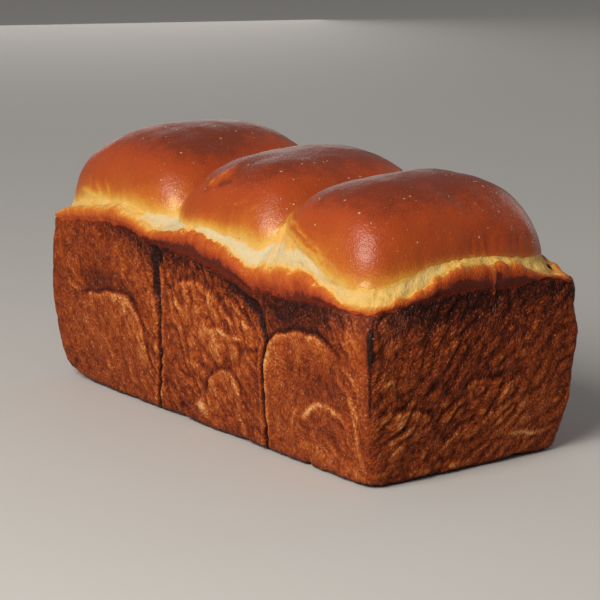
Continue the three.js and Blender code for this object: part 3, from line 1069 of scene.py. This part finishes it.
class NodeTree:
    """A material's nodes, added by one call each."""

    def __init__(self, material):
        material.use_nodes = True
        self.nodes = material.node_tree.nodes
        self.links = material.node_tree.links
        self.nodes.clear()

    def add(self, kind, inputs, **settings):
        node = self.nodes.new(kind)
        for name, value in settings.items():
            setattr(node, name, value)
        for key, value in inputs.items():
            if isinstance(value, bpy.types.NodeSocket):
                self.links.new(value, node.inputs[key])
            else:
                node.inputs[key].default_value = value
        return node

    def attribute(self, name):
        return self.add("ShaderNodeAttribute", {}, attribute_name=name).outputs["Fac"]

    def math(self, operation, a, b=0.0, c=0.0):
        return self.add("ShaderNodeMath", {0: a, 1: b, 2: c}, operation=operation).outputs[0]

    def plus(self, a, b):
        return self.math("ADD", a, b)

    def minus(self, a, b):
        return self.math("SUBTRACT", a, b)

    def times(self, a, b):
        return self.math("MULTIPLY", a, b)

    def scaled(self, value, factor, offset=0.0):
        return self.math("MULTIPLY_ADD", value, factor, offset)

    def blend(self, factor, a, b):
        """Numbers mixed by a factor."""
        return self.add("ShaderNodeMix", {0: factor, 2: a, 3: b}, data_type="FLOAT").outputs[0]

    def mix(self, factor, a, b, blend_type="MIX"):
        """Colours mixed by a factor."""
        node = self.add("ShaderNodeMix", {0: factor, 6: a, 7: b}, data_type="RGBA", blend_type=blend_type)
        return node.outputs[2]

    def step(self, value, start, stop):
        """0 below start and 1 above stop, smooth between them."""
        node = self.add("ShaderNodeMapRange", {0: value, 1: start, 2: stop}, interpolation_type="SMOOTHSTEP")
        return node.outputs[0]

    def noise(self, vector, size, detail=2.0, roughness=0.5):
        inputs = {"Vector": vector, "Scale": 1 / size, "Detail": detail, "Roughness": roughness}
        return self.add("ShaderNodeTexNoise", inputs).outputs["Fac"]

    def ramp(self, value, stops):
        """Colour by value, from (value, (red, green, blue)) stops in order, in linear light."""
        node = self.add("ShaderNodeValToRGB", {"Fac": value})
        elements = node.color_ramp.elements
        while len(elements) < len(stops):
            elements.new(0.5)
        for element, (place, colour) in zip(elements, stops):
            element.position = place
            element.color = (*colour, 1)
        return node.outputs["Color"]

    def dot(self, vector, direction):
        node = self.add("ShaderNodeVectorMath", {0: vector, 1: tuple(direction)}, operation="DOT_PRODUCT")
        return node.outputs["Value"]

    def cells(self, vector):
        """Distance to the nearest of strewn points one unit apart, and a random number for each of them."""
        node = self.add("ShaderNodeTexVoronoi", {"Vector": vector, "Scale": 1.0})
        return node.outputs["Distance"], self.dot(node.outputs["Color"], (1, 0, 0))

    def strewn_strokes(self, vector):
        """Short strokes strewn about a unit apart, 0 between them and up to 1 on some of them."""
        distance, chance = self.cells(vector)
        return self.times(self.step(distance, 0.42, 0.16), self.step(chance, 0.45, 0.95))

    def vector_math(self, operation, a, b):
        return self.add("ShaderNodeVectorMath", {0: a, 1: b}, operation=operation).outputs[0]

    def scaled_vector(self, vector, factor):
        return self.add("ShaderNodeVectorMath", {0: vector, 3: factor}, operation="SCALE").outputs[0]

    def along_fibres(self, place, length, width, texture):
        """A texture drawn out along the crust's fibres; place is a position in mm."""
        values = {}
        for name, direction in FIBRE_DIRECTIONS.items():
            rows = fibre_basis(direction) / np.array([[length], [width], [width]])
            parts = {k: self.dot(place, row) for k, row in enumerate(rows)}
            values[name] = texture(self.add("ShaderNodeCombineXYZ", parts).outputs[0])
        leaning = self.blend(self.attribute("long_side"), values["short"], values["long"])
        return self.blend(self.attribute("upright"), leaning, values["upright"]), values["upright"]


def place_in_mm(tree):
    position = tree.add("ShaderNodeTexCoord", {}).outputs["Object"]
    return tree.scaled_vector(position, 1 / MM)


def pushed_about(tree, place, size, reach):
    """The place in mm, pushed about by noise of that size, so that what is drawn there isn't straight."""
    noise = tree.add("ShaderNodeTexNoise", {"Vector": place, "Scale": 1 / size, "Detail": 1.0})
    centred = tree.vector_math("SUBTRACT", noise.outputs["Color"], (0.5, 0.5, 0.5))
    return tree.vector_math("ADD", place, tree.scaled_vector(centred, reach))


# Colours in linear light, by tone on the sides, by height on the lip and the crumb, by baking on the skin.
SIDE_BROWNS = [
    (0.0, (0.024, 0.0042, 0.002)),
    (0.18, (0.062, 0.0085, 0.0028)),
    (0.36, (0.148, 0.0225, 0.0046)),
    (0.52, (0.29, 0.049, 0.0078)),
    (0.66, (0.445, 0.101, 0.018)),
    (0.82, (0.64, 0.24, 0.07)),
    (1.0, (0.8, 0.5, 0.24)),
]
LIP_BROWNS = [
    (0.0, (0.12, 0.013, 0.003)),
    (0.06, (0.29, 0.034, 0.006)),
    (0.28, (0.45, 0.068, 0.0095)),
    (0.6, (0.59, 0.138, 0.017)),
    (0.84, (0.74, 0.3, 0.043)),
    (1.0, (0.8, 0.48, 0.14)),
]
CRUMB_CREAMS = [
    (0.0, (0.76, 0.44, 0.11)),
    (0.25, (0.67, 0.56, 0.33)),
    (0.75, (0.66, 0.58, 0.38)),
    (1.0, (0.72, 0.5, 0.22)),
]
THIN_CRUMB = (0.79, 0.43, 0.11)
WARM_GLOWING_CRUMB = (0.74, 0.47, 0.115)
STREAKED_CRUMB = (0.74, 0.39, 0.09)
PALE_BLISTER_AND_GLINT = (0.8, 0.42, 0.2)
SKIN_BROWNS = [
    (0.0, (0.7, 0.44, 0.09)),
    (0.2, (0.63, 0.265, 0.027)),
    (0.42, (0.5, 0.115, 0.009)),
    (0.62, (0.41, 0.067, 0.006)),
    (0.82, (0.39, 0.053, 0.0055)),
    (0.93, (0.29, 0.038, 0.0055)),
    (1.0, (0.2, 0.027, 0.005)),
]

# Sizes in mm of what is drawn on the crust: along the fibres and across them, or one for both.
FIBRE_SIZE, PEBBLE_SIZE, STROKE_SIZE = (2.2, 1.3), (1.7, 1.25), (1.8, 0.95)
BROAD_SIZE, MOTTLE_SIZE, GRAIN_SIZE, FINE_SIZE = 32.0, 7.0, 0.9, 0.7
BLISTER_SPACING, SPECK_SPACING, BUBBLE_SPACING = 3.9, 2.1, 1.8
DIMPLE_SIZE = 1.4


def centred_sum(tree, start, parts):
    """start plus each (value, factor) of the parts, whose values lie round a half."""
    for value, factor in parts:
        start = tree.plus(start, tree.scaled(value, factor, -0.5 * factor))
    return start


def crust_textures(tree):
    """What the crust is mixed from: the values that the mesh holds, and textures placed in mm."""
    t = SimpleNamespace(place=place_in_mm(tree))
    for name in ("zone", "bake", "golden", "warmth", "burn", "tone", "crest", "gloss", "long_side"):
        setattr(t, name, tree.attribute(name))
    t.wavy = pushed_about(tree, pushed_about(tree, t.place, 15, 10.0), 4.0, 1.8)
    t.fibres, t.upright_fibres = tree.along_fibres(t.wavy, *FIBRE_SIZE, lambda v: tree.noise(v, 1.0))
    t.pebbles, _ = tree.along_fibres(t.wavy, *PEBBLE_SIZE, lambda v: tree.cells(v)[0])
    t.strokes, _ = tree.along_fibres(t.wavy, *STROKE_SIZE, tree.strewn_strokes)
    t.fine = tree.noise(t.place, FINE_SIZE)
    t.grain = tree.noise(t.place, GRAIN_SIZE, 3.0, 0.6)
    t.mottle = tree.noise(t.place, MOTTLE_SIZE, 3.0, 0.6)
    t.broad = tree.noise(t.place, BROAD_SIZE)
    return t


def side_colour(tree, t):
    """Brown, with paler crests and darker hollows as painted highlight and painted shade, paler strokes that
    are partly the crust's own and partly painted glint, darker where the side burned and, as painted shadow,
    round its foot.
    """
    tone = centred_sum(tree, tree.scaled(t.tone, 1.0, 0.485), [
        (t.fibres, 0.14), (t.pebbles, -0.26), (t.grain, 0.26), (t.mottle, 0.4), (t.broad, 0.26)])
    # Paler strokes: partly the crust's own pale fibres and partly painted glint.
    tone = tree.plus(tone, tree.scaled(t.strokes, 0.26))
    # Painted highlight on raised parts and painted shade in hollows.
    tone = tree.plus(tone, tree.scaled(t.crest, 0.2))
    # Darker where the side burned, and along the edge round its base as painted shadow.
    ragged = centred_sum(tree, t.burn, [(t.mottle, 0.5), (t.fibres, 0.5), (t.pebbles, 0.4)])
    burnt = tree.step(ragged, 0.1, 1.0)
    return tree.ramp(tree.minus(tone, tree.scaled(burnt, 0.36)), SIDE_BROWNS)


def lip_colour(tree, t):
    """From the dark rim to golden, streaked upright."""
    up_lip = centred_sum(tree, tree.minus(t.zone, 1.0), [
        (t.upright_fibres, 0.26), (t.mottle, 0.7), (t.grain, 0.26)])
    return tree.ramp(tree.plus(up_lip, tree.scaled(t.tone, 1.0, -0.04)), LIP_BROWNS)


def crumb_colour(tree, t):
    """Cream, more golden at both edges and where little of the torn crumb shows."""
    up_crumb = centred_sum(tree, tree.minus(t.zone, 2.0), [(t.mottle, 0.5), (t.upright_fibres, 0.3)])
    thin = tree.step(centred_sum(tree, t.golden, [(t.mottle, 1.6), (t.grain, 0.4)]), 0.2, 0.8)
    colour = tree.mix(thin, tree.ramp(up_crumb, CRUMB_CREAMS), (*THIN_CRUMB, 1))
    # Warmer yellow: partly the crumb's own colour and partly painted glow of light scattered through it.
    colour = tree.mix(t.warmth, colour, (*WARM_GLOWING_CRUMB, 1))
    streaked = centred_sum(tree, 0.5, [(t.upright_fibres, 1.0), (t.mottle, 0.7), (t.grain, 0.4)])
    colour = tree.mix(tree.scaled(tree.step(streaked, 0.5, 0.9), 0.6), colour, (*STREAKED_CRUMB, 1))
    # Where the tone is low the crumb turns dark brown, as painted shade in the hole and cracks sunk into it.
    return tree.mix(tree.step(t.tone, -0.15, -0.5), colour, (*SIDE_BROWNS[1][1], 1))


def skin_blisters(tree, t):
    """Small blisters and smaller specks strewn over the skin, 0 between them and up to 1 on them."""
    uneven = pushed_about(tree, t.place, 1.3, 1.0)
    distance, chance = tree.cells(tree.scaled_vector(uneven, 1 / BLISTER_SPACING))
    edge = tree.minus(distance, tree.scaled(chance, 0.2, -0.035))
    blisters = tree.times(tree.step(edge, 0.04, -0.04), tree.step(chance, 0.5, 0.9))
    distance, chance = tree.cells(tree.scaled_vector(uneven, 1 / SPECK_SPACING))
    specks = tree.times(tree.step(distance, 0.2, 0.08), tree.step(chance, 0.5, 0.95))
    return tree.math("MAXIMUM", blisters, tree.scaled(specks, 0.45))


def skin_colour(tree, t, blisters):
    """Golden at the skin's edge and red-brown on top, with pale blisters whose paleness is partly their own
    and partly painted glint.
    """
    baked = centred_sum(tree, t.bake, [(t.broad, 0.3), (t.mottle, 0.26), (t.fine, 0.3), (t.grain, 0.16)])
    colour = tree.ramp(tree.minus(baked, t.tone), SKIN_BROWNS)
    return tree.mix(tree.scaled(blisters, 0.7), colour, (*PALE_BLISTER_AND_GLINT, 1))


def crust_bump(tree, t, blisters, is_lip, is_crumb, is_skin):
    """The normal of the fine relief, whose height is in mm."""
    bubbles = tree.times(t.gloss, tree.cells(tree.scaled_vector(t.wavy, 1 / BUBBLE_SPACING))[0])
    side = centred_sum(tree, tree.scaled(t.strokes, 0.4), [
        (t.fibres, 0.6), (t.grain, 0.5), (t.pebbles, -1.0), (bubbles, -0.9)])
    side = tree.times(side, tree.scaled(t.long_side, -0.4, 1.0))
    crumb = centred_sum(tree, 0.0, [(t.upright_fibres, 0.4), (t.grain, 0.35)])
    lip = tree.blend(is_crumb, tree.scaled(crumb, 1.6), crumb)
    dimples = tree.noise(t.place, DIMPLE_SIZE)
    skin = centred_sum(tree, tree.scaled(blisters, 0.4), [(dimples, 0.19), (t.fine, 0.1)])
    height = tree.blend(is_skin, tree.blend(is_lip, side, lip), skin)
    return tree.add("ShaderNodeBump", {"Height": height, "Distance": MM, "Strength": 1.0}).outputs["Normal"]


def make_crust_material():
    material = bpy.data.materials.new("baked_crust")
    tree = NodeTree(material)
    t = crust_textures(tree)
    blisters = skin_blisters(tree, t)

    # Zones, each with the ones before it under it.
    torn_edge = centred_sum(tree, t.zone, [(t.upright_fibres, 0.9), (t.mottle, 1.4), (t.grain, 0.5)])
    is_lip = tree.step(centred_sum(tree, t.zone, [(t.fibres, 0.05)]), 0.99, 1.01)
    is_torn = tree.step(torn_edge, 1.95, 2.1)
    is_skin = tree.step(centred_sum(tree, t.zone, [(t.grain, 0.06)]), 2.955, 2.985)
    is_crumb = tree.times(is_torn, tree.minus(1.0, is_skin))

    colour = tree.mix(is_lip, side_colour(tree, t), lip_colour(tree, t))
    colour = tree.mix(is_torn, colour, crumb_colour(tree, t))
    colour = tree.mix(is_skin, colour, skin_colour(tree, t, blisters))

    # Gloss: the skin is glazed, the sides glisten on their strokes, and the crumb is dull.
    rough = tree.blend(is_skin, tree.blend(t.gloss, 0.6, 0.4), 0.5)
    rough = tree.blend(is_crumb, rough, 0.9)
    coat = tree.plus(tree.scaled(t.strokes, 0.7, 0.12), t.gloss)
    coat = tree.blend(is_skin, tree.blend(is_crumb, coat, 0.0), 0.85)
    coat_rough = tree.blend(is_skin, 0.28, 0.32)
    bump = crust_bump(tree, t, blisters, is_lip, is_crumb, is_skin)

    inputs = {"Base Color": colour, "Roughness": rough, "Normal": bump, "Specular IOR Level": 0.08,
              "Coat Weight": coat, "Coat Roughness": coat_rough, "Coat Normal": bump}
    shader = tree.add("ShaderNodeBsdfPrincipled", inputs)
    tree.add("ShaderNodeOutputMaterial", {"Surface": shader.outputs["BSDF"]})
    return material


# ---- floor, light, camera

FLOOR_HALF = 6.0  # metres
FLOOR_COLOUR = (0.60, 0.59, 0.575)

# Each light: name, azimuth and elevation in degrees, distance and size in metres, power in watts, colour.
LIGHTS = [
    ("key_light", 20, 37, 1.3, 0.8, 17, (1.0, 0.94, 0.86)),
    ("back_light", 188, 16, 1.5, 0.8, 1.8, (1.0, 0.97, 0.93)),
    ("side_light", -118, 8, 1.4, 0.7, 1.0, (1.0, 0.95, 0.9)),
]
LIGHT_TARGET = Vector((0, 0, 0.06))
WORLD_COLOUR = (1.0, 0.98, 0.96, 1)
WORLD_STRENGTH = 0.17

CAMERA_AZIMUTH, CAMERA_ELEVATION = 53.3, 13.2
CAMERA_DISTANCE = 1.1747
CAMERA_LENS, CAMERA_SENSOR = 156.0, 36.0
CAMERA_TARGET = Vector((0, 0, 0.42 * HEIGHT * MM))


def make_plain_material(name, colour, roughness):
    material = bpy.data.materials.new(name)
    tree = NodeTree(material)
    place = place_in_mm(tree)
    tint = tree.mix(tree.noise(place, 400.0), (*colour, 1), (*(0.97 * c for c in colour), 1))
    shader = tree.add("ShaderNodeBsdfPrincipled", {"Base Color": tint, "Roughness": roughness})
    tree.add("ShaderNodeOutputMaterial", {"Surface": shader.outputs["BSDF"]})
    return material


def add_object(name, data):
    added = bpy.data.objects.new(name, data)
    bpy.context.collection.objects.link(added)
    return added


def make_floor():
    mesh = bpy.data.meshes.new("floor")
    corners = [(FLOOR_HALF * x, FLOOR_HALF * y, 0) for x, y in ((-1, -1), (1, -1), (1, 1), (-1, 1))]
    mesh.from_pydata(corners, [], [(0, 1, 2, 3)])
    mesh.materials.append(make_plain_material("pale_floor", FLOOR_COLOUR, 0.8))
    return add_object("floor", mesh)


def direction_from(azimuth, elevation):
    """Unit vector towards a place seen at that azimuth and elevation, in degrees; azimuth 0 is in front."""
    a, e = math.radians(azimuth), math.radians(elevation)
    return Vector((math.sin(a) * math.cos(e), -math.cos(a) * math.cos(e), math.sin(e)))


def aim(placed, target, azimuth, elevation, distance):
    """Places a light or camera in that direction from the target, looking at it."""
    towards = direction_from(azimuth, elevation)
    placed.location = target + towards * distance
    placed.rotation_euler = towards.to_track_quat("Z", "Y").to_euler()


def make_area_light(name, azimuth, elevation, distance, size, watts, colour):
    light = bpy.data.lights.new(name, "AREA")
    light.shape = "DISK"
    light.size = size
    light.energy = watts
    light.color = colour
    aim(add_object(name, light), LIGHT_TARGET, azimuth, elevation, distance)


def make_camera():
    data = bpy.data.cameras.new("camera")
    data.lens = CAMERA_LENS
    data.sensor_width = CAMERA_SENSOR
    camera = add_object("camera", data)
    aim(camera, CAMERA_TARGET, CAMERA_AZIMUTH, CAMERA_ELEVATION, CAMERA_DISTANCE)
    bpy.context.scene.camera = camera


def light_scene():
    for light in LIGHTS:
        make_area_light(*light)
    world = bpy.data.worlds.new("studio")
    bpy.context.scene.world = world
    world.use_nodes = True
    background = world.node_tree.nodes["Background"]
    background.inputs["Color"].default_value = WORLD_COLOUR
    background.inputs["Strength"].default_value = WORLD_STRENGTH
    bpy.context.scene.view_settings.view_transform = "Standard"


# ---- build

loaf = add_object("loaf_crust", make_loaf_mesh(make_loaf()))
loaf.data.materials.append(make_crust_material())
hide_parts("loaf")
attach(loaf, "root")

make_floor()
light_scene()
make_camera()
